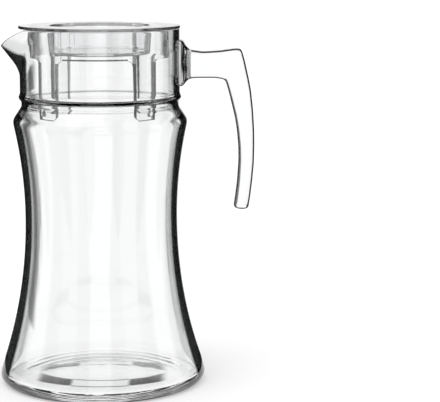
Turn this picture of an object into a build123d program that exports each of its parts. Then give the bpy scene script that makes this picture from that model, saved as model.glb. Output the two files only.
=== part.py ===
from build123d import *
from math import cos, radians, sin, sqrt, tan
import os

# Glass water jug with a pinched pouring lip, a hooked glass handle and a clear lift-off lid.
# Millimetres. +Z is up, the lip points along -X and the handle along +X.
# The origin is the centre of the foot, on the surface that the jug stands on.

# Jug, outside
neck_radius = 53.8
waist_height = 113.7
waist_inset = 2.2  # how much narrower than the neck the waist is
belly_curve = 314  # radius of the long sweep from the waist down to the heel
shoulder_curve = 290  # radius of the long sweep from the waist up to the shoulder
shoulder_rise = 65.9  # from the waist up to the shoulder
heel_height = 7
heel_depth = 4.6
shoulder_round = 3
groove_rise = 11  # from the shoulder up to the groove's middle
groove_depth = 0.9
groove_length = 3.4
groove_round = 1.5
bead_rise = 4.3  # from the groove's middle up to the bead
bead_depth = 1
bead_foot = 2.7
bead_round = 1.6
neck_height = 46.1  # from the bead up to the rim
rim_round = 1.2

# Jug, inside
neck_wall = 3.5
side_wall = 4
ledge_depth = 1.9  # the ring inside the neck, which the lid's pips lie under
ledge_rise = 0.6  # from the groove's middle up to the ring
ledge_length = 3.1
ledge_step = 1.1
ledge_round = 0.5
throat_depth = 0.1
throat_drop = 3
throat_round = 3
inner_shoulder_round = 4
floor_height = 5.5
floor_rise = 3.5
floor_round = 9

# Foot
foot_ring = 8.5  # width of the ring that the jug stands on
punt_rise = 4.5

# Pouring lip
lip_height = 36
lip_bend = 22
lip_angle = 38  # degrees from upright
lip_tip_round = 5.2
lip_sink = 0.5  # how far the lip's flanks start below the neck's surface
lip_levels = 8
lip_dip_inset = 5.8  # where the rim begins to dip, measured in from the neck's surface
lip_dip_knee_reach = 13.5
lip_dip_knee_drop = 7
lip_tip_reach = 21
lip_tip_drop = 14.2
lip_dip_round = 11

# Handle, measured down from the rim and out from the neck's surface
handle_width = 12
handle_edge_round = 1.9
arm_drop = 14.8
arm_depth = 18.5
arm_sag_reach = 16.2
arm_sag = 0.8
arm_lift = 1.7
grip_reach = 50.1
grip_drop = 78
grip_back_curve_top = 239
grip_back_curve_low = 230
grip_thickness = 10.7
grip_front_drop = 86
grip_front_curve_top = 143
grip_front_curve_low = 172
grip_end_drop = 122.2
grip_end_round = 4
crook_round = 7
knuckle_round = 5
pad_drop = 7.6
pad_height = 31.1
pad_width = 21
pad_depth = 2.8
pad_round = 5
pad_edge_round = 1.1
root_flare = 3.2
root_overlap = 5

# Lid, measured down from the rim
flange_thickness = 2
flange_overhang = 0.4
flange_edge_round = 0.7
well_mouth_radius = 33.4
well_draft = 1.2
well_wall = 1.6
well_drop = 17.2
well_floor = 1.9
well_inner_round = 3
well_mouth_round = 1.2
skirt_gap = 3.9
skirt_wall = 1.8
skirt_drop = 19
leg_length = 41.4
arch_half_width = 23.7  # the openings front and back, at their top
arch_draft = 0.6
arch_round = 4.5
gap_half_width = 27.6  # the openings towards the lip and the handle
gap_round = 3
rib_depth = 3.2
rib_thickness = 1.9
rib_sink = 0.6  # how far the ribs start inside the skirt
toe_round = 3.5
pip_angle = 47  # degrees from the middle of the arch
pip_round = 2.3
pip_rise = 5  # from the leg's end up to the middle of the pip's round end
pip_length = 6.4
pip_top_round = 0.8
pip_draft = 18  # degrees
pip_gap = 0.3  # between a pip and the ring inside the neck
pip_sink = 0.8

# Levels and radii that follow from those
waist_radius = neck_radius - waist_inset
bore_radius = neck_radius - neck_wall
shoulder_height = waist_height + shoulder_rise
groove_height = shoulder_height + groove_rise
groove_radius = neck_radius - groove_depth
bead_height = groove_height + bead_rise
bead_radius = neck_radius + bead_depth
neck_foot_height = bead_height + bead_foot
rim_height = bead_height + neck_height
ledge_bottom = groove_height + ledge_rise
ledge_top = ledge_bottom + ledge_length
ledge_radius = bore_radius - ledge_depth
throat_radius = bore_radius - throat_depth
throat_height = ledge_bottom - throat_drop
lip_start = rim_height - lip_height
lip_tip_height = rim_height - lip_tip_drop
arm_root_height = rim_height - arm_drop
arm_bottom = arm_root_height - arm_depth
arm_sag_height = arm_root_height - arm_sag
arm_top_height = arm_root_height + arm_lift
grip_back = neck_radius + grip_reach
grip_height = rim_height - grip_drop
grip_front_height = rim_height - grip_front_drop
grip_end = rim_height - grip_end_drop
pad_top = rim_height - pad_drop
pad_bottom = pad_top - pad_height
lid_top = rim_height + flange_thickness
flange_radius = neck_radius + flange_overhang
well_floor_radius = well_mouth_radius - well_draft
well_bottom = rim_height - well_drop
window_top = rim_height - skirt_drop
leg_end = window_top - leg_length
pip_middle = leg_end + pip_rise
pip_top = pip_middle + pip_length
skirt_radius = bore_radius - skirt_gap


def side_radius(height, wall=0):
    """Radius of the jug's side at a height: two long arcs that meet upright at the waist."""
    curve = belly_curve if height < waist_height else shoulder_curve
    reach = (curve + wall) ** 2 - (height - waist_height) ** 2
    return waist_radius + curve - sqrt(reach)


heel_radius = side_radius(heel_height)
punt_radius = heel_radius - heel_depth - foot_ring


def side_arcs(low, high, wall=0):
    """The two long arcs of the side, from a low to a high level."""
    for start, end in ((low, waist_height), (waist_height, high)):
        middle = (start + end) / 2
        points = [(side_radius(level, wall), level) for level in (start, middle, end)]
        ThreePointArc(*points)


def keel_reach(height, wall=0):
    """How far the lip's keel stands from the axis: an arc off the neck, then a straight slope."""
    curve = lip_bend + wall
    bend_top = lip_start + curve * sin(radians(lip_angle))
    arc_height = min(height, bend_top) - lip_start
    reach = neck_radius + lip_bend - sqrt(curve**2 - arc_height**2)
    return reach + max(height - bend_top, 0) * tan(radians(lip_angle))


def lip_section(height, wall=0):
    """One level section of the lip: the keel's small round, with a flank straight to the neck."""
    tip = lip_tip_round - wall
    neck = neck_radius - wall - lip_sink
    tip_middle = tip - keel_reach(height, wall)
    tangent = (neck - tip) / tip_middle
    rise = sqrt(1 - tangent**2)
    with BuildSketch(Plane.XY.offset(height)) as section:
        with BuildLine():
            nose = ThreePointArc(
                (tip_middle + tip * tangent, tip * rise),
                (tip_middle - tip, 0),
                (tip_middle + tip * tangent, -tip * rise),
            )
            Polyline(
                nose @ 1,
                (neck * tangent, -neck * rise),
                (0, 0),
                (neck * tangent, neck * rise),
                nose @ 0,
            )
        make_face()
    return section.sketch


def round_corner(builder, point, radius):
    """Round the corner of a sketch that lies nearest to a point."""
    corner = builder.vertices().sort_by_distance(Vector(*point))[0]
    fillet(corner, radius)


lip_step = (rim_height - lip_start) / (lip_levels - 1)
lip_heights = [lip_start + lip_step * index for index in range(lip_levels)]
dip_start = neck_radius - lip_dip_inset

# The solid shape of the lip, and the channel inside it
with BuildPart() as lip_outside:
    loft([lip_section(height) for height in lip_heights])

with BuildPart() as lip_channel:
    loft([lip_section(height, neck_wall) for height in lip_heights])

# What is cut away above the lip's dipping edge
with BuildPart() as lip_trim:
    with BuildSketch(Plane.XZ) as above_edge:
        with BuildLine():
            dip = FilletPolyline(
                (-dip_start / 2, rim_height),
                (-dip_start, rim_height),
                (-dip_start - lip_dip_knee_reach, rim_height - lip_dip_knee_drop),
                (-dip_start - lip_tip_reach, lip_tip_height),
                radius=lip_dip_round,
            )
            Polyline(
                dip @ 1,
                (-2 * neck_radius, lip_tip_height),
                (-2 * neck_radius, 2 * rim_height),
                (-dip_start / 2, 2 * rim_height),
                dip @ 0,
            )
        make_face()
    extrude(amount=2 * neck_radius, both=True)

# Jug: the turned body, the lip drawn out of it, then the hollow
with BuildPart() as jug_body:
    with BuildSketch(Plane.XZ) as outside:
        with BuildLine():
            punt_curve = (punt_radius**2 + punt_rise**2) / (2 * punt_rise)
            punt_turn = sqrt(punt_curve**2 - (punt_radius / 2) ** 2)
            ThreePointArc(
                (0, punt_rise),
                (punt_radius / 2, punt_rise - punt_curve + punt_turn),
                (punt_radius, 0),
            )
            Line((punt_radius, 0), (heel_radius - heel_depth, 0))
            EllipticalCenterArc(
                (heel_radius - heel_depth, heel_height),
                heel_depth,
                heel_height,
                start_angle=270,
                arc_size=90,
            )
            side_arcs(heel_height, shoulder_height)
            Polyline(
                (side_radius(shoulder_height), shoulder_height),
                (groove_radius, groove_height - groove_length / 2),
                (groove_radius, groove_height + groove_length / 2),
                (bead_radius, bead_height),
                (neck_radius, neck_foot_height),
                (neck_radius, rim_height),
                (0, rim_height),
                (0, punt_rise),
            )
        make_face()
        round_corner(outside, (side_radius(shoulder_height), shoulder_height), shoulder_round)
        round_corner(outside, (groove_radius, groove_height - groove_length / 2), shoulder_round)
        round_corner(outside, (groove_radius, groove_height + groove_length / 2), groove_round)
        round_corner(outside, (bead_radius, bead_height), bead_round)
        round_corner(outside, (neck_radius, neck_foot_height), bead_round)
    revolve(axis=Axis.Z)
    add(lip_outside.part)
    with BuildSketch(Plane.XZ) as hollow:
        with BuildLine():
            rise_curve = (bore_radius**2 + floor_rise**2) / (2 * floor_rise)
            rise_turn = sqrt(rise_curve**2 - (bore_radius / 2) ** 2)
            ThreePointArc(
                (0, floor_height + floor_rise),
                (bore_radius / 2, floor_height + floor_rise - rise_curve + rise_turn),
                (bore_radius, floor_height),
            )
            Line((bore_radius, floor_height), (side_radius(floor_height, side_wall), floor_height))
            side_arcs(floor_height, shoulder_height, side_wall)
            Polyline(
                (side_radius(shoulder_height, side_wall), shoulder_height),
                (throat_radius, throat_height),
                (ledge_radius, ledge_bottom),
                (ledge_radius, ledge_top),
                (bore_radius, ledge_top + ledge_step),
                (bore_radius, rim_height),
                (0, rim_height),
                (0, floor_height + floor_rise),
            )
        make_face()
        round_corner(hollow, (side_radius(floor_height, side_wall), floor_height), floor_round)
        inner_shoulder = (side_radius(shoulder_height, side_wall), shoulder_height)
        round_corner(hollow, inner_shoulder, inner_shoulder_round)
        round_corner(hollow, (throat_radius, throat_height), throat_round)
        round_corner(hollow, (ledge_radius, ledge_bottom), ledge_round)
        round_corner(hollow, (ledge_radius, ledge_top), ledge_round)
        round_corner(hollow, (bore_radius, ledge_top + ledge_step), ledge_round)
    revolve(axis=Axis.Z, mode=Mode.SUBTRACT)
    add(lip_channel.part, mode=Mode.SUBTRACT)
    add(lip_trim.part, mode=Mode.SUBTRACT)

    rim_edges = [edge for edge in jug_body.edges() if edge.center().Z > lip_tip_height - rim_round]
    fillet(rim_edges, rim_round)

jug_body.part.label = "jug_body"


def bowed_reach(height, reach, level, curve):
    """How far a bowed face stands out at a height, when it stands furthest out at a level."""
    return reach - curve + sqrt(curve**2 - (height - level) ** 2)


def bowed_face(low, high, reach, level, curve_low, curve_high):
    """The two arcs of a face of the grip, from a low to a high level."""
    for start, end, curve in ((low, level, curve_low), (level, high, curve_high)):
        heights = (start, (start + end) / 2, end)
        ThreePointArc(*[(bowed_reach(height, reach, level, curve), height) for height in heights])


# Handle: one bowed bar, its end hanging free, on a rounded pad that sits on the neck
grip_front = grip_back - grip_thickness
knuckle = bowed_reach(arm_top_height, grip_back, grip_height, grip_back_curve_top)
crook = bowed_reach(arm_bottom, grip_front, grip_front_height, grip_front_curve_top)
end_back = bowed_reach(grip_end, grip_back, grip_height, grip_back_curve_low)
end_front = bowed_reach(grip_end, grip_front, grip_front_height, grip_front_curve_low)
root_reach = neck_radius - root_overlap

with BuildPart() as jug_handle:
    with BuildSketch(Plane.XZ) as bar:
        with BuildLine():
            bowed_face(
                grip_end,
                arm_top_height,
                grip_back,
                grip_height,
                grip_back_curve_low,
                grip_back_curve_top,
            )
            ThreePointArc(
                (knuckle, arm_top_height),
                (neck_radius + arm_sag_reach, arm_sag_height),
                (root_reach, arm_root_height),
            )
            Polyline(
                (root_reach, arm_root_height),
                (root_reach, arm_bottom),
                (crook, arm_bottom),
            )
            bowed_face(
                grip_end,
                arm_bottom,
                grip_front,
                grip_front_height,
                grip_front_curve_low,
                grip_front_curve_top,
            )
            Line((end_front, grip_end), (end_back, grip_end))
        make_face()
        round_corner(bar, (crook, arm_bottom), crook_round)
        round_corner(bar, (knuckle, arm_top_height), knuckle_round)
        round_corner(bar, (end_front, grip_end), grip_end_round)
        round_corner(bar, (end_back, grip_end), grip_end_round)
    extrude(amount=handle_width / 2, both=True)
    side_edges = [edge for side in jug_handle.faces().filter_by(Axis.Y) for edge in side.edges()]
    fillet([edge for edge in side_edges if edge.center().X > neck_radius], handle_edge_round)
    with BuildSketch(Plane.YZ.offset(root_reach)) as pad:
        with Locations((0, (pad_top + pad_bottom) / 2)):
            RectangleRounded(pad_width, pad_top - pad_bottom, pad_round)
    extrude(amount=root_overlap + pad_depth)
    pad_face = jug_handle.faces().filter_by(Axis.X).sort_by(Axis.X)[-1]
    root_edges = [edge for wire in pad_face.inner_wires() for edge in wire.edges()]
    fillet(pad_face.outer_wire().edges(), pad_edge_round)
    fillet(root_edges, root_flare)
    with BuildSketch() as neck:
        Circle(neck_radius)
    extrude(amount=rim_height, mode=Mode.SUBTRACT)

jug_handle.part.label = "jug_handle"

# Lid: a flange with a sunk well, and a skirt that runs down into four legs
skirt_inside = skirt_radius - skirt_wall
pip_reach = ledge_radius - pip_gap
top_middle = pip_top - pip_top_round
pip_lean = (pip_round - pip_top_round) / (top_middle - pip_middle)
pip_side = sqrt(1 - pip_lean**2)

with BuildPart() as lid:
    with BuildSketch(Plane.XZ) as turned:
        with BuildLine():
            Polyline(
                (0, well_bottom + well_floor),
                (well_floor_radius, well_bottom + well_floor),
                (well_mouth_radius, lid_top),
                (flange_radius, lid_top),
                (flange_radius, rim_height),
                (skirt_radius, rim_height),
                (skirt_radius, leg_end),
                (skirt_inside, leg_end),
                (skirt_inside, rim_height),
                (well_mouth_radius + well_wall, rim_height),
                (well_floor_radius + well_wall, well_bottom),
                (0, well_bottom),
                (0, well_bottom + well_floor),
            )
        make_face()
        round_corner(turned, (well_floor_radius, well_bottom + well_floor), well_inner_round)
        round_corner(turned, (well_mouth_radius, lid_top), well_mouth_round)
        round_corner(turned, (flange_radius, lid_top), flange_edge_round)
        round_corner(turned, (flange_radius, rim_height), flange_edge_round)
        round_corner(turned, (well_floor_radius + well_wall, well_bottom), well_inner_round)
    revolve(axis=Axis.Z)
    rib_out = sqrt(skirt_radius**2 - (arch_half_width + rib_thickness) ** 2) - rib_sink
    rib_in = sqrt(skirt_inside**2 - arch_half_width**2) - rib_depth
    rib_x = arch_half_width + rib_thickness / 2
    rib_y = (rib_in + rib_out) / 2
    with BuildSketch(Plane.XY.offset(leg_end)) as ribs:
        with Locations((rib_x, rib_y), (rib_x, -rib_y), (-rib_x, rib_y), (-rib_x, -rib_y)):
            Rectangle(rib_thickness, rib_out - rib_in)
    extrude(amount=rim_height - leg_end)
    with BuildSketch(Plane.XZ) as arch:
        with BuildLine():
            arch_foot = arch_half_width + arch_draft
            toe_bow = toe_round * (1 - cos(radians(45)))
            ThreePointArc(
                (-arch_foot - toe_round, leg_end),
                (-arch_foot - toe_bow, leg_end + toe_bow),
                (-arch_foot, leg_end + toe_round),
            )
            Polyline(
                (-arch_foot, leg_end + toe_round),
                (-arch_half_width, window_top),
                (arch_half_width, window_top),
                (arch_foot, leg_end + toe_round),
            )
            ThreePointArc(
                (arch_foot, leg_end + toe_round),
                (arch_foot + toe_bow, leg_end + toe_bow),
                (arch_foot + toe_round, leg_end),
            )
            Line((arch_foot + toe_round, leg_end), (-arch_foot - toe_round, leg_end))
        make_face()
        round_corner(arch, (arch_half_width, window_top), arch_round)
        round_corner(arch, (-arch_half_width, window_top), arch_round)
    extrude(amount=flange_radius, both=True, mode=Mode.SUBTRACT)
    with BuildSketch(Plane.YZ) as gap:
        with Locations((0, (window_top + leg_end) / 2)):
            Rectangle(2 * gap_half_width, window_top - leg_end)
        round_corner(gap, (gap_half_width, window_top), gap_round)
        round_corner(gap, (-gap_half_width, window_top), gap_round)
    extrude(amount=flange_radius, both=True, mode=Mode.SUBTRACT)
    for quarter in (1, 3):
        for hand in (1, -1):
            pip_turn = quarter * 90 + hand * pip_angle
            face_plane = Plane(
                origin=(0, 0, 0),
                x_dir=(-sin(radians(pip_turn)), cos(radians(pip_turn)), 0),
                z_dir=(cos(radians(pip_turn)), sin(radians(pip_turn)), 0),
            )
            with BuildSketch(face_plane.offset(skirt_radius - pip_sink)) as drop:
                with BuildLine():
                    low_arc = ThreePointArc(
                        (pip_round * pip_side, pip_middle + pip_round * pip_lean),
                        (0, pip_middle - pip_round),
                        (-pip_round * pip_side, pip_middle + pip_round * pip_lean),
                    )
                    top_arc = ThreePointArc(
                        (-pip_top_round * pip_side, top_middle + pip_top_round * pip_lean),
                        (0, pip_top),
                        (pip_top_round * pip_side, top_middle + pip_top_round * pip_lean),
                    )
                    Line(low_arc @ 1, top_arc @ 0)
                    Line(top_arc @ 1, low_arc @ 0)
                make_face()
            extrude(amount=pip_reach - skirt_radius + pip_sink, taper=pip_draft)

lid.part.label = "lid"

os.makedirs("parts", exist_ok=True)
export_step(jug_body.part, "parts/jug_body.step")
export_step(jug_handle.part, "parts/jug_handle.step")
export_step(lid.part, "parts/lid.step")
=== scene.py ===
import math

import bpy
import numpy as np
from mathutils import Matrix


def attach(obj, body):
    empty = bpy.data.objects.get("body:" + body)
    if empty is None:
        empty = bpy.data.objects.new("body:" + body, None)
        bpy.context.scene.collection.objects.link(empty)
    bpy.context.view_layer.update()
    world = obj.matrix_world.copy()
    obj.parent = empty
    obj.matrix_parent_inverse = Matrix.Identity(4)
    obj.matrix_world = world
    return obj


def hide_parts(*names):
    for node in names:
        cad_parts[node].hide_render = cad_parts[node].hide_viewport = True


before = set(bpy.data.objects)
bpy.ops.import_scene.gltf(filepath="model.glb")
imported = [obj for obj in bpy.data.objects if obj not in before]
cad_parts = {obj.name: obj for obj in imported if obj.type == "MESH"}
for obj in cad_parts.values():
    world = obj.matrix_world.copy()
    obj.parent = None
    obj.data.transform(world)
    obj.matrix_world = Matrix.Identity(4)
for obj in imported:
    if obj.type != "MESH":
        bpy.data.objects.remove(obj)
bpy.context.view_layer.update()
print("frame loaded")

mm = 0.001


# Mesh tools: all shapes are worked out in millimetres

def makeMesh(name, points, faces):
    mesh = bpy.data.meshes.new(name)
    mesh.from_pydata((points * mm).tolist(), [], faces)
    mesh.validate()
    mesh.shade_smooth()
    piece = bpy.data.objects.new(name, mesh)
    bpy.context.scene.collection.objects.link(piece)
    return piece


def gridFaces(rows, columns):
    # quads between neighbouring rows of closed rings, whose points are numbered row by row
    row = np.arange(rows - 1)[:, None]
    column = np.arange(columns)[None, :]
    nextColumn = (column + 1) % columns
    corner = row * columns
    quads = np.stack([corner + column, corner + nextColumn,
                      corner + columns + nextColumn, corner + columns + column], -1)
    return quads.reshape(-1, 4).tolist()


def polarSurface(name, ring, firstPole, lastPole):
    # ring is a rows x columns x 3 array of closed rings; a pole is the point that closes an end
    rows, columns = ring.shape[:2]
    column = np.arange(columns)
    nextColumn = (column + 1) % columns
    lastRow = (rows - 1) * columns
    first = np.full(columns, rows * columns)
    faces = gridFaces(rows, columns)
    faces += np.stack([first, nextColumn, column], -1).tolist()
    faces += np.stack([first + 1, lastRow + column, lastRow + nextColumn], -1).tolist()
    points = np.vstack([ring.reshape(-1, 3), np.array([firstPole, lastPole], float)])
    return makeMesh(name, points, faces)


def arc(start, end, centre, count):
    # points along the circle about centre, from start to end, by the shorter way round
    start, end, centre = (np.array(p, float) for p in (start, end, centre))
    first = math.atan2(*(start - centre)[::-1])
    turn = (math.atan2(*(end - centre)[::-1]) - first + math.pi) % (2 * math.pi) - math.pi
    angle = first + turn * np.linspace(0, 1, count)
    radius = np.linspace(np.hypot(*(start - centre)), np.hypot(*(end - centre)), count)
    return centre + np.stack([np.cos(angle), np.sin(angle)], -1) * radius[:, None]


def pick(where, at, line):
    # the line's points at given places along it
    return np.stack([np.interp(where, at, line[:, 0]), np.interp(where, at, line[:, 1])], -1)


def lineReach(points):
    # how far along a polyline each of its points is
    return np.concatenate([[0], np.cumsum(np.hypot(*np.diff(points, axis=0).T))])


def alongLine(points, step):
    # the same polyline with a point every step, and how far along it each one is
    points = np.asarray(points, float)
    apart = np.hypot(*np.diff(points, axis=0).T) > 1e-6
    points = points[np.concatenate([[True], apart])]
    reach = lineReach(points)
    at = np.linspace(0, reach[-1], max(int(reach[-1] / step), 8) + 1)
    return pick(at, reach, points), at


def soften(points, at, spread):
    # moving average with a bell-shaped weight, exp(-d squared / 2); d is the distance along the line over
    # the spread, which is given in mm for each point
    weight = np.exp(-0.5 * ((at[:, None] - at[None, :]) / spread[:, None]) ** 2)
    return weight @ points / weight.sum(1, keepdims=True)


def softLine(points, spread, step):
    # a polyline softened evenly, with its ends kept in place
    line, at = alongLine(points, step)
    smooth = soften(line, at, np.broadcast_to(spread, at.shape))
    smooth[0], smooth[-1] = line[0], line[-1]
    return smooth


def resample(points, count, longest):
    # count points, spread evenly by the sum of length / longest and turn x weight, so that they are far
    # apart on straight stretches and close together in bends
    window, bendWeight = 9, 9
    step = np.hypot(*np.diff(points, axis=0).T)
    heading = np.unwrap(np.arctan2(*np.diff(points, axis=0).T[::-1]))
    turn = np.convolve(np.abs(np.gradient(heading)), np.ones(window) / window, "same")
    cost = np.concatenate([[0], np.cumsum(step / longest + turn * bendWeight)])
    return pick(np.linspace(0, cost[-1], count), cost, points)


# Glass jug: a turned profile from the middle of the foot, up the outside, over the rim and down the inside

jug = {
    "rim": 241.0, "neck": 53.8, "neckWall": 3.5, "sideWall": 4.0,
    "waist": 51.6, "waistHeight": 113.7, "bellyCurve": 314.0, "shoulderCurve": 290.0,
    "shoulder": 179.6, "groove": 52.9, "grooveLow": 188.9, "grooveHigh": 192.3,
    "bead": 55.0, "beadHeight": 194.9, "neckFoot": 197.8,
    "ledge": 48.2, "ledgeLow": 191.2, "ledgeHigh": 194.4, "ledgeSlope": 1.1,
    "throat": 50.2, "throatHeight": 188.2,
    "heelReach": 4.6, "heelHeight": 7.0, "punt": 57.2, "puntRise": 4.5,
    "floor": 5.5, "floorRise": 3.5, "floorReach": 60.5,
    # how much each stretch is softened
    "soft": {"punt": 1.6, "heel": 0.9, "side": 2.2, "groove": 0.9, "bead": 0.7, "rim": 0.75, "ledge": 0.45,
             "throat": 1.4, "inside": 3.2, "floor": 3.0},
    "sidePoints": 160, "footPoints": 60, "heelPoints": 24, "step": 0.3, "softBlend": 6, "mirrored": 60,
    "rings": 300, "longest": 6.0, "columns": 288, "columnSpread": (0.3, 0.7),
}
lip = {
    "start": 205.0, "bend": 22.0, "angle": 38.0, "tipRound": 5.2, "sink": 0.5, "blend": 0.5,
    "dip": [(24.0, 241.0), (48.0, 241.0), (61.5, 234.0), (69.0, 226.8)], "dipSoft": 2.6, "dipStep": 0.2,
    "rounds": 40,
}


def sideRadius(height, wall=0.0):
    # two long arcs that meet upright at the waist
    curve = np.where(height < jug["waistHeight"], jug["bellyCurve"], jug["shoulderCurve"])
    return jug["waist"] + curve - np.sqrt((curve + wall) ** 2 - (height - jug["waistHeight"]) ** 2)


def dome(reach, radius, rise):
    # height of a shallow cap: the square root of curve squared - reach squared, set so its edge is at 0
    curve = (radius ** 2 + rise ** 2) / (2 * rise)
    return rise - curve + np.sqrt(curve ** 2 - reach ** 2)


def jugProfile():
    # corner points and long arcs, then softened along the line, each stretch by as much as the real glass is
    j, soft = jug, jug["soft"]
    up = np.linspace(j["heelHeight"], j["shoulder"], j["sidePoints"])
    down = np.linspace(j["shoulder"], j["floor"], j["sidePoints"])
    heelTurn = np.linspace(-math.pi / 2, 0, j["heelPoints"])[:-1]
    heelReach = sideRadius(j["heelHeight"]) - j["heelReach"] * (1 - np.cos(heelTurn))
    heelRise = j["heelHeight"] * (1 + np.sin(heelTurn))
    bore = j["neck"] - j["neckWall"]
    puntX = np.linspace(0, j["punt"], j["footPoints"])
    floorX = np.linspace(j["floorReach"], 0, j["footPoints"])
    floorZ = j["floor"] + dome(floorX, j["floorReach"], j["floorRise"])
    stretches = [
        (np.stack([puntX, dome(puntX, j["punt"], j["puntRise"])], -1), soft["punt"]),
        (np.stack([heelReach, heelRise], -1), soft["heel"]),
        (np.stack([sideRadius(up), up], -1), soft["side"]),
        ([(j["groove"], j["grooveLow"]), (j["groove"], j["grooveHigh"])], soft["groove"]),
        ([(j["bead"], j["beadHeight"]), (j["neck"], j["neckFoot"])], soft["bead"]),
        ([(j["neck"], j["rim"]), (bore, j["rim"])], soft["rim"]),
        ([(bore, j["ledgeHigh"] + j["ledgeSlope"]), (j["ledge"], j["ledgeHigh"]),
          (j["ledge"], j["ledgeLow"])], soft["ledge"]),
        ([(j["throat"], j["throatHeight"])], soft["throat"]),
        (np.stack([sideRadius(down, j["sideWall"]), down], -1), soft["inside"]),
        (np.stack([floorX, floorZ], -1), soft["floor"]),
    ]
    corners = np.vstack([points for points, spread in stretches])
    line, at = alongLine(corners, j["step"])
    spreadAt = np.concatenate([[spread] * len(points) for points, spread in stretches])
    spread = np.interp(at, lineReach(corners), spreadAt)
    window = 2 * j["softBlend"] + 1
    spread = np.convolve(np.pad(spread, j["softBlend"], "edge"), np.ones(window) / window, "valid")
    # the line goes on past the axis as its own mirror image, so that both middles stay flat
    extra = j["mirrored"]
    head, tail = line[1:extra + 1][::-1] * [-1, 1], line[-extra - 1:-1][::-1] * [-1, 1]
    longLine = np.vstack([head, line, tail])
    longAt = np.arange(len(longLine)) * at[1]
    longSpread = np.concatenate([spread[1:extra + 1][::-1], spread, spread[-extra - 1:-1][::-1]])
    smooth = soften(longLine, longAt, longSpread)[extra:-extra]
    smooth[0, 0] = smooth[-1, 0] = 0
    return smooth


def dipHeight(reach):
    # height of the rim's crown at a reach from the axis towards the lip
    smooth = softLine(lip["dip"], lip["dipSoft"], lip["dipStep"])
    return np.interp(reach, smooth[:, 0], smooth[:, 1])


def lipRadius(angle, height, depth):
    # distance from the axis to the lip's level outline, which is a small round at the keel
    # with straight flanks that touch the neck's circle; depth is how far under the outside
    curve = lip["bend"] + depth
    slope = math.radians(lip["angle"])
    bendTop = lip["start"] + curve * math.sin(slope)
    low = np.clip(np.minimum(height, bendTop) - lip["start"], 0, None)
    reach = jug["neck"] + lip["bend"] - np.sqrt(curve ** 2 - low ** 2)
    reach = reach + np.clip(height - bendTop, 0, None) * math.tan(slope)
    tip = lip["tipRound"] - depth
    neck = jug["neck"] - depth
    big = jug["neck"] - depth - lip["sink"]
    centre = reach - tip
    lean = np.arccos(np.clip((big - tip) / centre, -1, 1))
    turn = np.abs(angle)
    steepest = 1.2  # keeps the flank's cosine away from zero where the flank isn't used
    flank = big / np.cos(np.clip(turn - lean, -steepest, steepest))
    tangent = np.arctan2(tip * np.sin(lean), centre + tip * np.cos(lean))
    inside = np.clip(tip ** 2 - (centre * np.sin(turn)) ** 2, 0, None)
    nose = centre * np.cos(turn) + np.sqrt(inside)
    outline = np.where(turn < tangent, nose, np.where(turn < lean, flank, big))
    # soft maximum of outline and neck, less what it adds where the outline is the larger
    softMaximum = 0.5 * (outline + neck + np.sqrt((outline - neck) ** 2 + lip["blend"] ** 2))
    farInside = 9  # from here on the correction is as good as nothing
    return softMaximum - lip["blend"] / 2 * np.exp(-np.clip(neck - outline, 0, farInside))


def jugSurface():
    # r and z of the profile, turned about the axis; above the lip's start the rings bulge to the lip's
    # outline, and their heights are drawn down to the dipping crown
    start, rim = lip["start"], jug["rim"]
    line = resample(jugProfile(), jug["rings"] + 2, jug["longest"])
    line[0, 0] = line[-1, 0] = 0
    even = np.linspace(-1, 1, jug["columns"], endpoint=False)
    straight, crowded = jug["columnSpread"]
    angle = (math.pi * (straight * even + crowded * even ** 3))[None, :]  # 0 points at the lip
    radius, height = line[1:-1, 0][:, None], line[1:-1, 1][:, None]
    rise = np.clip((height - start) / (rim - start), 0, 1)
    depth = np.clip(jug["neck"] - radius, 0, jug["neckWall"])
    # the crown's height and its reach hang on each other, so they are settled in rounds
    crown = np.full(np.broadcast(radius, angle).shape, rim)
    for _ in range(lip["rounds"]):
        out = lipRadius(angle, crown, depth)
        crown = 0.5 * crown + 0.5 * np.minimum(rim, dipHeight(out * np.cos(angle)))
    newHeight = np.where(rise > 0, start + (height - start) * (crown - start) / (rim - start), height)
    bulged = lipRadius(angle, newHeight, depth)
    newRadius = np.where(rise > 0, np.maximum(radius, 0) + (bulged - (jug["neck"] - depth)), radius)
    ring = np.stack([-newRadius * np.cos(angle), -newRadius * np.sin(angle), newHeight], -1)
    return polarSurface("jugGlass", ring, (0, 0, line[0, 1]), (0, 0, line[-1, 1]))


jugGlass = jugSurface()
print("jug turned and lipped")


# Handle: rounded sections between an outer and an inner line, wide at the pad, closed at the free end

handle = {
    "width": 12.0, "padWidth": 21.0, "padFace": 56.6, "padRun": 1.4, "padSoft": 0.75, "padShare": 0.3,
    "outer": [(51.6, 233.3), (56.2, 233.2), (57.6, 229.5), (60.6, 226.6), (69.0, 225.4), (80.0, 226.0),
              (91.0, 227.5), (95.0, 227.3), (97.2, 220.0), (100.0, 207.5), (101.6, 199.0), (103.0, 186.0),
              (103.8, 172.0), (103.9, 162.0), (103.6, 150.0), (102.6, 139.0), (101.2, 127.5), (100.2, 121.5)],
    "inner": [(51.6, 202.4), (56.2, 202.4), (57.6, 205.4), (60.6, 207.4), (66.0, 207.7), (72.0, 207.7),
              (78.0, 207.7), (84.2, 206.6), (86.4, 199.0), (87.9, 193.0), (89.3, 187.0), (90.6, 181.8),
              (92.0, 173.0), (93.0, 162.0), (93.1, 152.0), (92.2, 138.5), (90.9, 128.0), (90.0, 122.0)],
    "outerSoft": 1.3, "innerSoft": 1.5, "softStep": 0.25, "lineStep": 0.1, "linePoints": 2000,
    # matching marks, as shares of the two lines, that lie on one section
    "outerMarks": [0.0, 0.036, 0.26, 0.335, 0.42, 1.0], "innerMarks": [0.0, 0.045, 0.27, 0.335, 0.40, 1.0],
    "edge": 3.0, "edgeShare": 0.98, "sections": 150, "around": 40,
    "tipReach": 3.2, "tipSections": 14, "tipSpacing": 0.6, "tipFullness": 0.55,
}


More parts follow.
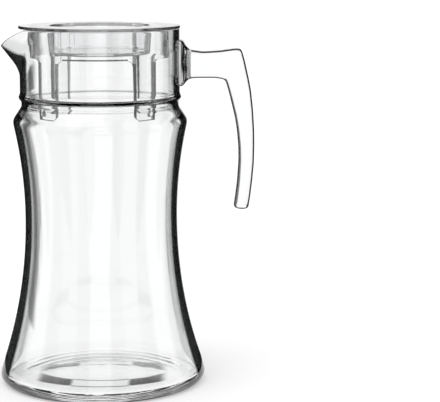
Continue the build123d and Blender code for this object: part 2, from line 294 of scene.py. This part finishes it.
def evenLine(points, spread, count):
    # a softened line as count points, even distances apart
    smoothLine, reach = alongLine(softLine(points, spread, handle["softStep"]), handle["lineStep"])
    return pick(np.linspace(0, reach[-1], count), reach, smoothLine)


def handleSurface():
    # between matching points of the outer and the inner line lies a section: a rectangle with rounded
    # corners, in the plane through both points and across
    h = handle
    outer = evenLine(h["outer"], h["outerSoft"], h["linePoints"])
    inner = evenLine(h["inner"], h["innerSoft"], h["linePoints"])
    share = np.linspace(0, 1, h["sections"])
    lineShare = np.linspace(0, 1, h["linePoints"])
    top = pick(share, lineShare, outer)
    low = pick(np.interp(share, h["outerMarks"], h["innerMarks"]), lineShare, inner)
    middle, half = (top + low) / 2, (top - low) / 2
    # the pad's width falls to the bar's in a soft step, 1 / (1 + exp(distance))
    step = 1 / (1 + np.exp((middle[:, 0] - h["padFace"] - h["padRun"]) / h["padSoft"]))
    width = (h["width"] + (h["padWidth"] - h["width"]) * np.where(share < h["padShare"], step, 0)) / 2
    # the free end: the last sections shrink as a quarter of an ellipse does
    endAt = np.linspace(0, 1, h["tipSections"])[1:] ** h["tipSpacing"] * math.pi / 2
    along = np.array([half[-1, 1], -half[-1, 0]]) / np.hypot(*half[-1])
    along *= -np.sign(along[1])
    endReach = middle[-1][None, :] + along[None, :] * (h["tipReach"] * np.sin(endAt))[:, None]
    shrink = np.cos(endAt) ** h["tipFullness"]
    middle = np.vstack([middle, endReach[:-1]])
    half = np.vstack([half, half[-1][None, :] * shrink[:-1, None]])
    width = np.concatenate([width, width[-1] * shrink[:-1]])
    tip = endReach[-1]
    # each section: flat sides joined by quarter circles, which shrink where the section is small
    halfDepth = np.maximum(np.hypot(*half.T), 1e-3)
    edge = np.minimum(h["edge"], h["edgeShare"] * np.minimum(width, halfDepth))
    quarter = np.linspace(0, math.pi / 2, h["around"] // 4)
    across = width[:, None] - edge[:, None] * (1 - np.cos(quarter)[None, :])
    updown = halfDepth[:, None] - edge[:, None] * (1 - np.sin(quarter)[None, :])
    across = np.hstack([across, -across[:, ::-1], -across, across[:, ::-1]])
    updown = np.hstack([updown, updown[:, ::-1], -updown, -updown[:, ::-1]]) / halfDepth[:, None]
    ring = np.stack([middle[:, :1] + half[:, :1] * updown, across, middle[:, 1:] + half[:, 1:] * updown], -1)
    start = middle[0]
    return polarSurface("jugHandleGlass", ring, (start[0], 0, start[1]), (tip[0], 0, tip[1]))


handleGlass = handleSurface()
print("handle swept")


# Lid: one turned profile, then the arches are cut out of its skirt, and ribs and pips are joined on

lidSizes = {
    "top": 243.0, "rim": 241.0, "flange": 54.2, "mouth": 33.4, "wellLow": 32.2, "wellWall": 1.6,
    "wellBottom": 223.8, "wellFloor": 1.9, "skirt": 46.4, "skirtWall": 1.8, "legEnd": 180.6,
    "windowTop": 222.0, "arch": 23.7, "archDraft": 0.6, "archRound": 4.5, "gap": 27.6, "gapRound": 3.0,
    "toe": 3.5, "toeRound": 1.5, "heelRound": 4, "cutBelow": 2, "cutReach": 60,
    "ribDepth": 3.2, "ribThickness": 1.9, "ribRound": 0.5, "ribUnder": 2, "ribFoot": 0.15, "ribTop": 0.7,
    "pipAngle": 47.0, "pipRound": 2.3, "pipTopRound": 0.8, "pipMiddle": 185.6, "pipTop": 192.0,
    "pipReach": 48.1, "pipSink": 0.8, "pipDraft": 18.0, "pipPoints": 64, "pipSmallest": 0.04,
    "pipEdge": [(0.25, 0), (0.07, 0.1), (0, 0.32)],  # depth under the pip's face, and how far it draws in
    "step": 0.2, "rows": 170, "longest": 9.0, "columns": 256,
}


def lidProfile():
    # corners of the turned wall, each with how much it is softened: top side, skirt, then the under side
    s = lidSizes
    inside = s["skirt"] - s["skirtWall"]
    corners = [
        ((0, s["wellBottom"] + s["wellFloor"]), 1.0), ((s["wellLow"], s["wellBottom"] + s["wellFloor"]), 1.3),
        ((s["mouth"], s["top"]), 0.6), ((s["flange"], s["top"]), 0.35), ((s["flange"], s["rim"]), 0.35),
        ((s["skirt"], s["rim"]), 0.25), ((s["skirt"], s["legEnd"]), 0.2), ((inside, s["legEnd"]), 0.2),
        ((inside, s["rim"]), 0.3), ((s["mouth"] + s["wellWall"], s["rim"]), 0.3),
        ((s["wellLow"] + s["wellWall"], s["wellBottom"]), 1.3), ((0, s["wellBottom"]), 1.0),
    ]
    points = np.array([point for point, spread in corners], float)
    at = alongLine(points, s["step"])[1]
    nearest = np.argmin(np.abs(at[:, None] - lineReach(points)[None, :]), axis=1)
    spread = np.array([spread for point, spread in corners])[nearest]
    return resample(softLine(points, spread, s["step"]), s["rows"], s["longest"])


def prism(name, outline, along, low, high):
    # a flat outline carried straight along one axis, "x", "y" or "z", from low to high
    outline = np.asarray(outline, float)
    axis = "xyz".index(along)
    places = (high, low) if along == "y" else (low, high)
    ends = [np.insert(outline, axis, value, axis=1) for value in places]
    count = len(outline)
    faces = gridFaces(2, count) + [list(range(count))[::-1], list(range(count, 2 * count))]
    return makeMesh(name, np.vstack(ends), faces)


def roundedOutline(corners, radii, count=10):
    # a closed outline whose corners are replaced by arcs
    corners = np.array(corners, float)
    pieces = []
    for index, radius in enumerate(radii):
        here, before, after = corners[index], corners[index - 1], corners[(index + 1) % len(corners)]
        if radius <= 0:
            pieces.append(here[None, :])
            continue
        back, on = before - here, after - here
        back, on = back / np.hypot(*back), on / np.hypot(*on)
        half = math.acos(np.clip(back @ on, -1, 1)) / 2
        cut = radius / math.tan(half)
        middle = (back + on) / np.hypot(*(back + on)) * radius / math.sin(half) + here
        pieces.append(arc(here + back * cut, here + on * cut, middle, count))
    return np.vstack(pieces)


def boolean(target, other, kind):
    # joins or cuts at once, so that no modifier stays live, and removes the other piece
    change = target.modifiers.new(kind, "BOOLEAN")
    change.operation = kind
    change.solver = "EXACT"
    change.object = other
    bpy.context.view_layer.objects.active = target
    depsgraph = bpy.context.evaluated_depsgraph_get()
    result = bpy.data.meshes.new_from_object(target.evaluated_get(depsgraph))
    target.modifiers.clear()
    old = target.data
    target.data = result
    result.name = target.name
    bpy.data.meshes.remove(old)
    spare = other.data
    bpy.data.objects.remove(other)
    bpy.data.meshes.remove(spare)


def pipSurface(turn):
    # a teardrop: in each direction its outline is whichever of two circles reaches further, a large low
    # one and a small high one; it stands out from the leg, and shrinks by its draft as it does
    s = lidSizes
    way = np.linspace(0, 2 * math.pi, s["pipPoints"], endpoint=False)
    across, up = np.cos(way), np.sin(way)
    start = s["skirt"] - s["pipSink"]
    outs = np.array([start] + [s["pipReach"] - under for under, drawn in s["pipEdge"]])
    drawnIn = np.array([0] + [drawn for under, drawn in s["pipEdge"]])
    inset = (outs - start) * math.tan(math.radians(s["pipDraft"])) + drawnIn
    large, small = s["pipRound"] - inset, np.maximum(s["pipTopRound"] - inset, s["pipSmallest"])
    low, high = s["pipMiddle"], s["pipTop"] - s["pipTopRound"]
    lowWins = low * up[None, :] + large[:, None] > high * up[None, :] + small[:, None]
    middle = np.where(lowWins, low, high)
    reach = np.where(lowWins, large[:, None], small[:, None])
    side, height = reach * across[None, :], middle + reach * up[None, :]
    c, n = math.cos(turn), math.sin(turn)
    ring = np.stack([outs[:, None] * c - side * n, outs[:, None] * n + side * c, height], -1)
    poles = [(outs[row] * c, outs[row] * n, low) for row in (0, -1)]
    return polarSurface("pip", ring, *poles)


def lidSurface():
    # the profile turned about the axis; the ribs go on first, so the arches trim them flush
    s = lidSizes
    line = lidProfile()
    turn = np.linspace(0, 2 * math.pi, s["columns"], endpoint=False)
    radius, height = line[1:-1, 0][:, None], line[1:-1, 1][:, None] * np.ones(len(turn))
    ring = np.stack([radius * np.cos(turn), radius * np.sin(turn), height], -1)
    piece = polarSurface("lidPlastic", ring, (0, 0, line[0, 1]), (0, 0, line[-1, 1]))
    inside = s["skirt"] - s["skirtWall"]
    near, far = s["arch"] - s["ribUnder"], s["arch"] + s["ribThickness"]
    ribOut = math.sqrt(s["skirt"] ** 2 - far ** 2) - s["skirtWall"] / 3
    ribIn = math.sqrt(inside ** 2 - s["arch"] ** 2) - s["ribDepth"]
    for handX in (1, -1):
        for handY in (1, -1):
            outline = roundedOutline([(near, ribIn), (far, ribIn), (far, ribOut), (near, ribOut)],
                                     [0, s["ribRound"], 0, 0], 5) * [handX, handY]
            if handX * handY < 0:
                outline = outline[::-1]
            rib = prism("rib", outline, "z", s["legEnd"] + s["ribFoot"], s["top"] - s["ribTop"])
            boolean(piece, rib, "UNION")
    top, foot, toe = s["windowTop"], s["arch"] + s["archDraft"], s["toe"]
    low, reach = s["legEnd"] - s["cutBelow"], s["cutReach"]
    arch = roundedOutline(
        [(foot + toe, low), (foot + toe, s["legEnd"]), (foot, s["legEnd"] + toe), (s["arch"], top),
         (-s["arch"], top), (-foot, s["legEnd"] + toe), (-foot - toe, s["legEnd"]), (-foot - toe, low)],
        [0, s["toeRound"], s["heelRound"], s["archRound"], s["archRound"], s["heelRound"], s["toeRound"], 0])
    boolean(piece, prism("archCutter", arch, "y", -reach, reach), "DIFFERENCE")
    gap = roundedOutline([(s["gap"], low), (s["gap"], top), (-s["gap"], top), (-s["gap"], low)],
                         [0, s["gapRound"], s["gapRound"], 0])
    boolean(piece, prism("gapCutter", gap, "x", -reach, reach), "DIFFERENCE")
    for quarter in (90, 270):
        for hand in (1, -1):
            boolean(piece, pipSurface(math.radians(quarter + hand * s["pipAngle"])), "UNION")
    return piece


lidPlastic = lidSurface()
print("lid cut")


# Node tools

def addNode(tree, kind, inputs, output=0, **settings):
    # a node whose inputs are numbers, colours or other nodes' sockets; gives back one of its outputs
    node = tree.nodes.new("ShaderNode" + kind)
    for name, value in settings.items():
        setattr(node, name, value)
    for name, value in inputs.items():
        if isinstance(value, bpy.types.NodeSocket):
            tree.links.new(value, node.inputs[name])
        else:
            node.inputs[name].default_value = value
    return node.outputs[output]


def mathNode(tree, kind, *values):
    return addNode(tree, "Math", dict(enumerate(values)), operation=kind)


def fade(tree, value, start, end, low, high):
    # smooth step from low to high as the value goes from start to end
    return addNode(tree, "MapRange", {"Value": value, "From Min": start, "From Max": end, "To Min": low,
                                      "To Max": high}, "Result", interpolation_type="SMOOTHSTEP")


def mixColour(tree, share, first, second):
    return addNode(tree, "MixRGB", {"Fac": share, "Color1": first, "Color2": second})


def mixShader(tree, share, first, second):
    return addNode(tree, "MixShader", {0: share, 1: first, 2: second})


def splitVector(tree, vector):
    node = addNode(tree, "SeparateXYZ", {"Vector": vector}).node
    return node.outputs["X"], node.outputs["Y"], node.outputs["Z"]


def levelLength(tree, x, y):
    # the square root of x squared + y squared
    flat = addNode(tree, "CombineXYZ", {"X": x, "Y": y})
    return addNode(tree, "VectorMath", {0: flat}, "Value", operation="LENGTH")


def newGroup(name, inputs, outputs):
    group = bpy.data.node_groups.new(name, "ShaderNodeTree")
    for way, sockets in (("INPUT", inputs), ("OUTPUT", outputs)):
        for socketName, kind in sockets.items():
            group.interface.new_socket(socketName, in_out=way, socket_type="NodeSocket" + kind)
    return group, group.nodes.new("NodeGroupInput").outputs, group.nodes.new("NodeGroupOutput").inputs


waveLayers = {"broadDetail": 1.0, "fineDetail": 2.0, "finer": 3.3, "fineShare": 0.22}


def mouldWaves():
    # the faint waves a mould leaves: height = broad noise + a share of finer noise, both drawn out upwards
    group, start, end = newGroup("mouldWaves", {"Scale": "Float", "Stretch": "Float"}, {"Height": "Float"})
    place = addNode(group, "TexCoord", {}, "Object")
    factors = addNode(group, "CombineXYZ", {"X": 1.0, "Y": 1.0, "Z": start["Stretch"]})
    drawn = addNode(group, "VectorMath", {0: place, 1: factors}, operation="MULTIPLY")
    finer = mathNode(group, "MULTIPLY", start["Scale"], waveLayers["finer"])
    broad, fine = (addNode(group, "TexNoise", {"Vector": drawn, "Scale": scale, "Detail": detail}, "Fac")
                   for scale, detail in ((start["Scale"], waveLayers["broadDetail"]),
                                         (finer, waveLayers["fineDetail"])))
    group.links.new(mathNode(group, "MULTIPLY_ADD", fine, waveLayers["fineShare"], broad), end["Height"])
    return group


waves = mouldWaves()

# Clear materials. Thick clear walls look dark where they turn away, because they carry the light off
# sideways; painted shade in the base colour stands in for that, also on faces that turn down. An edge is a
# place that gets painted shade too: "box" limits it by x (signed), X, Y (distances from the middle planes),
# Z and R (distance from the axis), in metres, and "fades" take it in or out by how far the surface turns from
# the eye, its normal, or the streaks

# facing and height fades for the painted shade, and the facing fade for the shadow's colour
paintedShadeAndShadowRules = {"upFade": (0.5, 0.8), "downFade": (-0.7, -0.45), "neckFoot": (0.19, 0.2), "shadow": (0.35, 0.95)}
handleBox = [("x", 0.0615, 0.12), ("Z", 0.10, 0.25)]
glassLook = {
    "ior": 1.5, "clear": (0.995, 1.0, 0.998, 1), "turned": (0.56, 0.62),
    # the first and later colours are painted shade: near black for the eye's own ray, grey for rays already
    # in the glass
    "firstPaintedShade": (0.0007, 0.0008, 0.0008, 1), "laterPaintedShade": (0.3, 0.305, 0.305, 1), "downHigh": 0.5,
    "streaks": (620.0, 140.0, 24.0),
    "edges": [
        # painted shade on the handle's outline, and on the rounding between its broad and narrow faces
        {"depth": 1.0, "box": handleBox, "fades": [("facing", 0.34, 0.46, 0, 1)]},
        {"depth": 1.0, "box": handleBox,
         "fades": [("normalY", 0.30, 0.42, 0, 1), ("normalY", 0.72, 0.84, 1, 0)]},
        # painted shade on the heel
        {"depth": 0.97, "box": [("R", 0.0665, 0.0720), ("Z", -0.001, 0.0072)],
         "fades": [("facing", 0.30, 0.50, 0, 1)]},
        # painted shade on the crest of the inner ring
        {"depth": 1.0, "box": [("R", 0.0475, 0.0490), ("Z", 0.1936, 0.1948)], "fades": []},
        # painted shade in streaks on the pad, fused on by hand
        {"depth": 1.0, "box": [("x", 0.0490, 0.0605), ("Z", 0.2010, 0.2360)],
         "fades": [("streaks", 0.50, 0.60, 0, 1)]},
    ],
    "hazeScale": 18.0, "hazeDetail": 3.0, "roughness": (0.0, 0.012),
    "waveScale": 22.0, "waveStretch": 0.35, "waveStrength": 0.25, "waveDepth": 0.0012,
    "shadow": ((0.97, 0.975, 0.975, 1), (0.45, 0.46, 0.46, 1)),
}
plasticLook = {
    "ior": 1.49, "clear": (0.99, 0.99, 0.993, 1), "turned": (0.56, 0.66),
    # the first and later colours are painted shade: near black for the eye's own ray, dark grey for rays
    # already in the plastic
    "firstPaintedShade": (0.035, 0.035, 0.037, 1), "laterPaintedShade": (0.12, 0.12, 0.125, 1), "downHigh": 1.0,
    "edges": [
        # painted shade on the flange's rim
        {"depth": 0.9, "box": [("R", 0.0532, 0.06), ("Z", 0.2405, 0.2435)],
         "fades": [("normalZ", 0.6, 0.9, 1, 0)]},
        # painted shade on the sides and tops of the arches
        {"depth": 1.0, "box": [("X", 0.0232, 0.0256), ("Y", 0.035, 0.06), ("Z", 0.1805, 0.2200)],
         "fades": []},
        {"depth": 1.0, "box": [("X", 0.0, 0.0205), ("Y", 0.035, 0.06), ("Z", 0.2218, 0.2229)],
         "fades": []},
        # painted shade on the sides of the gaps, and on the legs' ends
        {"depth": 1.0, "box": [("X", 0.0250, 0.06), ("Y", 0.0270, 0.0285), ("Z", 0.180, 0.2200)],
         "fades": []},
        {"depth": 0.9, "box": [("X", 0.0250, 0.06), ("Z", 0.180, 0.1814)], "fades": []},
    ],
    "hazeScale": 40.0, "hazeDetail": 3.0, "roughness": (0.01, 0.045),
    "waveScale": 35.0, "waveStretch": 1.0, "waveStrength": 0.2, "waveDepth": 0.0006,
    "shadow": ((0.95, 0.95, 0.955, 1), (0.55, 0.55, 0.56, 1)),
}


def paintedShadeMask(tree, look, place, facing):
    # where the painted shade goes: 1 where the surface turns away or down, unless it looks up, and at the
    # edges; 0 elsewhere
    x, y, z = splitVector(tree, place["Object"])
    normalY, normalZ = splitVector(tree, place["Normal"])[1:]
    measures = {"x": x, "Z": z, "R": levelLength(tree, x, y), "facing": facing}
    for name, socket in (("X", x), ("Y", y), ("normalY", normalY), ("normalZ", normalZ)):
        measures[name] = mathNode(tree, "ABSOLUTE", socket)
    if "streaks" in look:
        drawn = addNode(tree, "VectorMath", {0: place["Object"], 1: look["streaks"]}, operation="MULTIPLY")
        measures["streaks"] = addNode(tree, "TexNoise", {"Vector": drawn, "Scale": 1.0}, "Fac")
    turned = fade(tree, facing, *look["turned"], 0, 1)
    notUp = fade(tree, normalZ, *paintedShadeAndShadowRules["upFade"], 1, 0)
    down = fade(tree, normalZ, *paintedShadeAndShadowRules["downFade"], 1, 0)
    down = mathNode(tree, "MULTIPLY", down, fade(tree, z, *paintedShadeAndShadowRules["neckFoot"], 1, look["downHigh"]))
    dark = mathNode(tree, "MAXIMUM", mathNode(tree, "MULTIPLY", turned, notUp), down)
    for edge in look["edges"]:
        inside = edge["depth"]
        for name, low, high in edge["box"]:
            for kind, limit in (("GREATER_THAN", low), ("LESS_THAN", high)):
                inside = mathNode(tree, "MULTIPLY", inside, mathNode(tree, kind, measures[name], limit))
        for name, *limits in edge["fades"]:
            inside = mathNode(tree, "MULTIPLY", inside, fade(tree, measures[name], *limits))
        dark = mathNode(tree, "MAXIMUM", dark, inside)
    return dark


def clearMaterial(name, look):
    # clear gloss with painted shade, slight haze and mould waves; its shadow is a light one. The eye's own
    # ray meets the deep first painted shade, and rays that are already in the piece meet the paler later one
    material = bpy.data.materials.new(name)
    material.use_nodes = True
    tree = material.node_tree
    tree.nodes.clear()
    ray = tree.nodes.new("ShaderNodeLightPath").outputs
    place = tree.nodes.new("ShaderNodeTexCoord").outputs
    facing = addNode(tree, "LayerWeight", {"Blend": 0.5}, "Facing")
    # painted shade, deep for the eye's own ray and paler for later rays, mixed into the clear colour by its
    # mask
    paintedShade = mixColour(tree, ray["Is Camera Ray"], look["laterPaintedShade"], look["firstPaintedShade"])
    body = mixColour(tree, paintedShadeMask(tree, look, place, facing), look["clear"], paintedShade)
    haze = addNode(tree, "TexNoise", {"Vector": place["Object"], "Scale": look["hazeScale"],
                                      "Detail": look["hazeDetail"]}, "Fac")
    smooth, rough = look["roughness"]
    roughness = addNode(tree, "MapRange", {"Value": haze, "To Min": smooth, "To Max": rough}, "Result")
    ripple = tree.nodes.new("ShaderNodeGroup")
    ripple.node_tree = waves
    ripple.inputs["Scale"].default_value = look["waveScale"]
    ripple.inputs["Stretch"].default_value = look["waveStretch"]
    bump = addNode(tree, "Bump", {"Height": ripple.outputs["Height"], "Strength": look["waveStrength"],
                                  "Distance": look["waveDepth"]}, "Normal")
    shader = addNode(tree, "BsdfPrincipled", {
        "Base Color": body, "Roughness": roughness, "Normal": bump, "IOR": look["ior"], "Metallic": 0.0,
        "Transmission Weight": 1.0})
    thin, thick = look["shadow"]
    shade = mixColour(tree, fade(tree, facing, *paintedShadeAndShadowRules["shadow"], 0, 1), thin, thick)
    through = addNode(tree, "BsdfTransparent", {"Color": shade})
    out = tree.nodes.new("ShaderNodeOutputMaterial")
    tree.links.new(mixShader(tree, ray["Is Shadow Ray"], shader, through), out.inputs["Surface"])
    return material


glass = clearMaterial("clearGlass", glassLook)
plastic = clearMaterial("clearPlastic", plasticLook)
sharpAngle = 38

boolean(jugGlass, handleGlass, "UNION")
for piece, material, body, nodeNames, slotName in (
        (jugGlass, glass, "jug", ("jug_body", "jug_handle"), "glass"),
        (lidPlastic, plastic, "lid", ("lid",), "clear_plastic")):
    piece.data.materials.clear()
    piece.data.materials.append(material)
    piece.data.shade_smooth()
    piece.data.set_sharp_from_angle(angle=math.radians(sharpAngle))
    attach(piece, body)
    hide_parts(*nodeNames)
print("pieces joined and finished")


# Studio: pale floor, white surroundings, soft light. Clear pieces need something dark beside the white
# behind them, so what bent and mirrored rays meet is white windows with dark gaps between, all round

studio = {
    "floorSize": 40.0, "floorColour": (0.82, 0.82, 0.82, 1), "floorGlow": 0.30,
    "skyDiffuse": 0.75, "sunStrength": 0.9, "sunAngle": 50.0, "sunTurn": (32, 0, -38),
    # half widths of the windows, in degrees, and how light the gaps are
    "window": 14.0, "windowEdge": 2.0, "cornerWindow": 12.0, "gapBent": 0.22, "gapMirrored": 0.02,
    "inset": 0.045, "cornerInset": 0.5,
    "nearFloor": (0.24, 0.34),  # the windows' pattern starts this far out on the floor
    # under the foot, painted shade in the floor's glow: depths and sides of the shaded quarters, and the thin
    # lines between them
    "footShade": (0.0235, 0.0400), "footSides": (0.0190, 0.0420), "footBend": 0.03,
    "footSoft": 0.0015, "footSideSoft": (0.002, 0.004), "footLine": 0.0011, "footLineDepth": 0.8,
    "skyStops": [(0.0, 1.0), (0.36, 1.0), (0.52, 0.10), (0.66, 0.05), (0.82, 0.5), (1.0, 1.0)],
    "topLight": (0.62, 0.80),
}


def windowGroup():
    # a place's angle from the nearest axis of the frame: white near the axes, and for bent rays near the
    # diagonals too, dark between; Inset widens the windows by a length, for places near by
    tree, start, end = newGroup("whiteWindows", {"Place": "Vector", "Inset": "Float", "Bent": "Float"},
                                {"Mask": "Float"})
    x, y = (mathNode(tree, "ABSOLUTE", socket) for socket in splitVector(tree, start["Place"])[:2])
    long, short = mathNode(tree, "MAXIMUM", x, y), mathNode(tree, "MINIMUM", x, y)
    inner = mathNode(tree, "MAXIMUM", mathNode(tree, "SUBTRACT", short, start["Inset"]), 0.0)
    outer = mathNode(tree, "ADD", short, mathNode(tree, "MULTIPLY", start["Inset"], studio["cornerInset"]))
    angle, wider = (mathNode(tree, "DEGREES", mathNode(tree, "ARCTAN2", side, long))
                    for side in (inner, outer))
    edge, corner = studio["windowEdge"], 45 - studio["cornerWindow"]
    ahead = fade(tree, angle, studio["window"] - edge, studio["window"] + edge, 1, 0)
    beside = fade(tree, wider, corner - edge, corner + edge, 0, 1)
    white = mathNode(tree, "MAXIMUM", ahead, mathNode(tree, "MULTIPLY", beside, start["Bent"]))
    dark = mathNode(tree, "MULTIPLY_ADD", start["Bent"], studio["gapBent"] - studio["gapMirrored"],
                    studio["gapMirrored"])
    tree.links.new(mathNode(tree, "MAXIMUM", white, dark), end["Mask"])
    return tree


windows = windowGroup()


def placeWindows(tree, place, inset, bent):
    node = tree.nodes.new("ShaderNodeGroup")
    node.node_tree = windows
    node.inputs["Inset"].default_value = inset
    tree.links.new(place, node.inputs["Place"])
    tree.links.new(bent, node.inputs["Bent"])
    return node.outputs["Mask"]


def paintedFootShade(tree, x, y):
    # painted shade in the floor's glow, which only bent and mirrored rays see: two pairs of shaded quarters,
    # and
    # two thin lines that join them, by depth: the length from a point behind the foot's middle, less the way
    # to that point
    near, out = studio["footShade"]
    side, end = studio["footSides"]
    sideSoft, endSoft = studio["footSideSoft"]
    line, soft, behind = studio["footLine"], studio["footSoft"], studio["footBend"]
    depth = mathNode(tree, "SUBTRACT", levelLength(tree, x, mathNode(tree, "ADD", y, behind)), behind)
    shade = mathNode(tree, "MULTIPLY", fade(tree, depth, near - soft, near + soft, 0, 1),
                     fade(tree, depth, out - soft, out + soft, 1, 0))
    shade = mathNode(tree, "MULTIPLY", shade, fade(tree, x, side - sideSoft, side + sideSoft, 0, 1))
    shade = mathNode(tree, "MULTIPLY", shade, fade(tree, x, end - endSoft, end + endSoft, 1, 0))
    between = fade(tree, x, side - sideSoft, side + sideSoft, 1, 0)
    for at in (near, out):
        away = mathNode(tree, "ABSOLUTE", mathNode(tree, "SUBTRACT", depth, at))
        thin = fade(tree, away, line * 0.5, line * 1.5, studio["footLineDepth"], 0)
        shade = mathNode(tree, "MAXIMUM", shade, mathNode(tree, "MULTIPLY", thin, between))
    return shade


def makeFloor():
    # the eye sees a plain floor with the piece's shadow; bent and mirrored rays see the windows, and bent
    # ones see white close to the piece, with the foot's painted shade under it
    size = studio["floorSize"] / 2 / mm
    corners = np.array([(-size, -size, 0), (size, -size, 0), (size, size, 0), (-size, size, 0)], float)
    floor = makeMesh("studioFloor", corners, [[0, 1, 2, 3]])
    material = bpy.data.materials.new("paleFloor")
    material.use_nodes = True
    tree = material.node_tree
    tree.nodes.clear()
    ray = tree.nodes.new("ShaderNodeLightPath").outputs
    shader = addNode(tree, "BsdfPrincipled", {
        "Base Color": studio["floorColour"], "Roughness": 0.9, "Specular IOR Level": 0.0,
        "Emission Color": (1, 1, 1, 1),
        "Emission Strength": mathNode(tree, "MULTIPLY", ray["Is Camera Ray"], studio["floorGlow"])})
    place = addNode(tree, "TexCoord", {}, "Object")
    x, y = (mathNode(tree, "ABSOLUTE", socket) for socket in splitVector(tree, place)[:2])
    mask = placeWindows(tree, place, studio["inset"], ray["Is Transmission Ray"])
    far = fade(tree, levelLength(tree, x, y), *studio["nearFloor"], 0, 1)
    far = mathNode(tree, "MAXIMUM", far, ray["Is Glossy Ray"])
    gaps = mathNode(tree, "MULTIPLY", mathNode(tree, "SUBTRACT", 1.0, mask), far)
    white = mathNode(tree, "SUBTRACT", 1.0, gaps)
    strength = mathNode(tree, "SUBTRACT", white, paintedFootShade(tree, x, y))
    light = addNode(tree, "Emission", {"Strength": strength})
    bent = mathNode(tree, "MAXIMUM", ray["Is Transmission Ray"], ray["Is Glossy Ray"])
    out = tree.nodes.new("ShaderNodeOutputMaterial")
    tree.links.new(mixShader(tree, bent, shader, light), out.inputs["Surface"])
    floor.data.materials.append(material)


makeFloor()


def makeWorld():
    # even white for diffuse light, plain white for the eye; bent and mirrored rays see the windows and a
    # band of sky whose lightness goes by height
    world = bpy.data.worlds.new("studioWorld")
    bpy.context.scene.world = world
    world.use_nodes = True
    tree = world.node_tree
    tree.nodes.clear()
    ray = tree.nodes.new("ShaderNodeLightPath").outputs
    place = addNode(tree, "TexCoord", {}, "Generated")
    z = splitVector(tree, place)[2]
    height = addNode(tree, "ValToRGB", {"Fac": z}, "Color")
    stops = height.node.color_ramp.elements
    first, last = studio["skyStops"][0], studio["skyStops"][-1]
    stops[0].position, stops[0].color = first[0], (first[1],) * 3 + (1,)
    stops[1].position, stops[1].color = last[0], (last[1],) * 3 + (1,)
    for position, value in studio["skyStops"][1:-1]:
        stops.new(position).color = (value, value, value, 1)
    # the windows end where the top light starts
    mask = placeWindows(tree, place, 0.0, ray["Is Transmission Ray"])
    overhead = fade(tree, z, *studio["topLight"], 0, 1)
    glow = mathNode(tree, "MULTIPLY", height, mathNode(tree, "MAXIMUM", mask, overhead))
    eye = ray["Is Camera Ray"]
    white = (1, 1, 1, 1)
    plain = addNode(tree, "Background", {"Color": white, "Strength": studio["skyDiffuse"]})
    seen = addNode(tree, "Background", {"Color": white, "Strength": mathNode(tree, "MAXIMUM", glow, eye)})
    bent = mathNode(tree, "MAXIMUM", ray["Is Glossy Ray"], ray["Is Transmission Ray"])
    out = tree.nodes.new("ShaderNodeOutputWorld")
    tree.links.new(mixShader(tree, mathNode(tree, "MAXIMUM", bent, eye), plain, seen), out.inputs["Surface"])


makeWorld()

sun = bpy.data.lights.new("softSun", "SUN")
sun.energy = studio["sunStrength"]
sun.angle = math.radians(studio["sunAngle"])
sunHolder = bpy.data.objects.new("softSun", sun)
bpy.context.scene.collection.objects.link(sunHolder)
sunHolder.rotation_euler = [math.radians(turn) for turn in studio["sunTurn"]]

# Camera: at the photograph's viewing angle
shot = {"sensor": 36.0, "lens": 133.86, "clip": (0.05, 60.0),
        "place": (0.08069, -1.0998, 0.300), "down": 9.11}
camera = bpy.data.cameras.new("camera")
camera.sensor_fit = "HORIZONTAL"
camera.sensor_width = shot["sensor"]
camera.lens = shot["lens"]
camera.clip_start, camera.clip_end = shot["clip"]
cameraHolder = bpy.data.objects.new("camera", camera)
bpy.context.scene.collection.objects.link(cameraHolder)
cameraHolder.location = shot["place"]
cameraHolder.rotation_euler = (math.radians(90 - shot["down"]), 0, 0)
bpy.context.scene.camera = cameraHolder

view = bpy.context.scene.view_settings
view.view_transform = "Standard"
cycles = bpy.context.scene.cycles
cycles.max_bounces = 32
cycles.transmission_bounces = 24
cycles.glossy_bounces = 16
cycles.transparent_max_bounces = 24
cycles.caustics_refractive = False
cycles.caustics_reflective = False
print("studio set")
